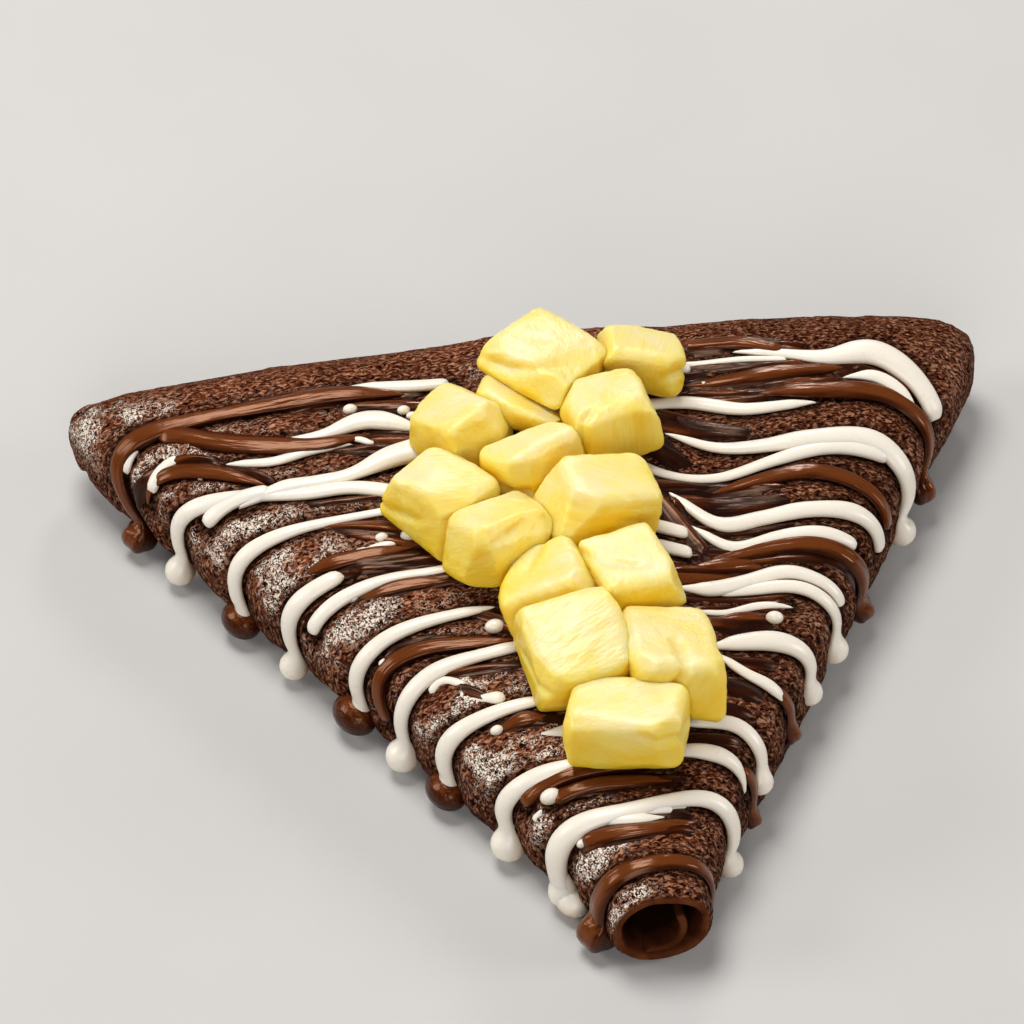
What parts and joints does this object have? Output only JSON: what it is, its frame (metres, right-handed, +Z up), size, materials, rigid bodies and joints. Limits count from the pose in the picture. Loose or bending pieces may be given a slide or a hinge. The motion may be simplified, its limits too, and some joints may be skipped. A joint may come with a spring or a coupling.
{
  "type": "pineapple crepe",
  "caption": "Chocolate crepe folded to a wedge with a rolled tip, drizzled with white and milk chocolate and topped with pineapple pieces.",
  "frame": {"origin": "middle of the bounding box's base, on the surface that the crepe lies on", "axes": "+Z up out of the crepe's top, +Y from the rolled tip towards the wide folded back, +X to the right seen from the tip"},
  "size_m": [0.1674, 0.1366, 0.04],
  "materials": {
    "crepe": "porous dark chocolate crepe, matte",
    "pineapple": "moist fibrous fruit flesh",
    "white_chocolate": "smooth set white chocolate",
    "milk_chocolate": "glossy set milk chocolate"
  },
  "bodies": {
    "root": {"crepe": "crepe", "pineapple_01": "pineapple", "pineapple_02": "pineapple", "pineapple_03": "pineapple", "pineapple_04": "pineapple", "pineapple_05": "pineapple", "pineapple_06": "pineapple", "pineapple_07": "pineapple", "pineapple_08": "pineapple", "pineapple_09": "pineapple", "pineapple_10": "pineapple", "pineapple_11": "pineapple", "pineapple_12": "pineapple", "pineapple_13": "pineapple", "pineapple_14": "pineapple"}
  },
  "joints": []
}
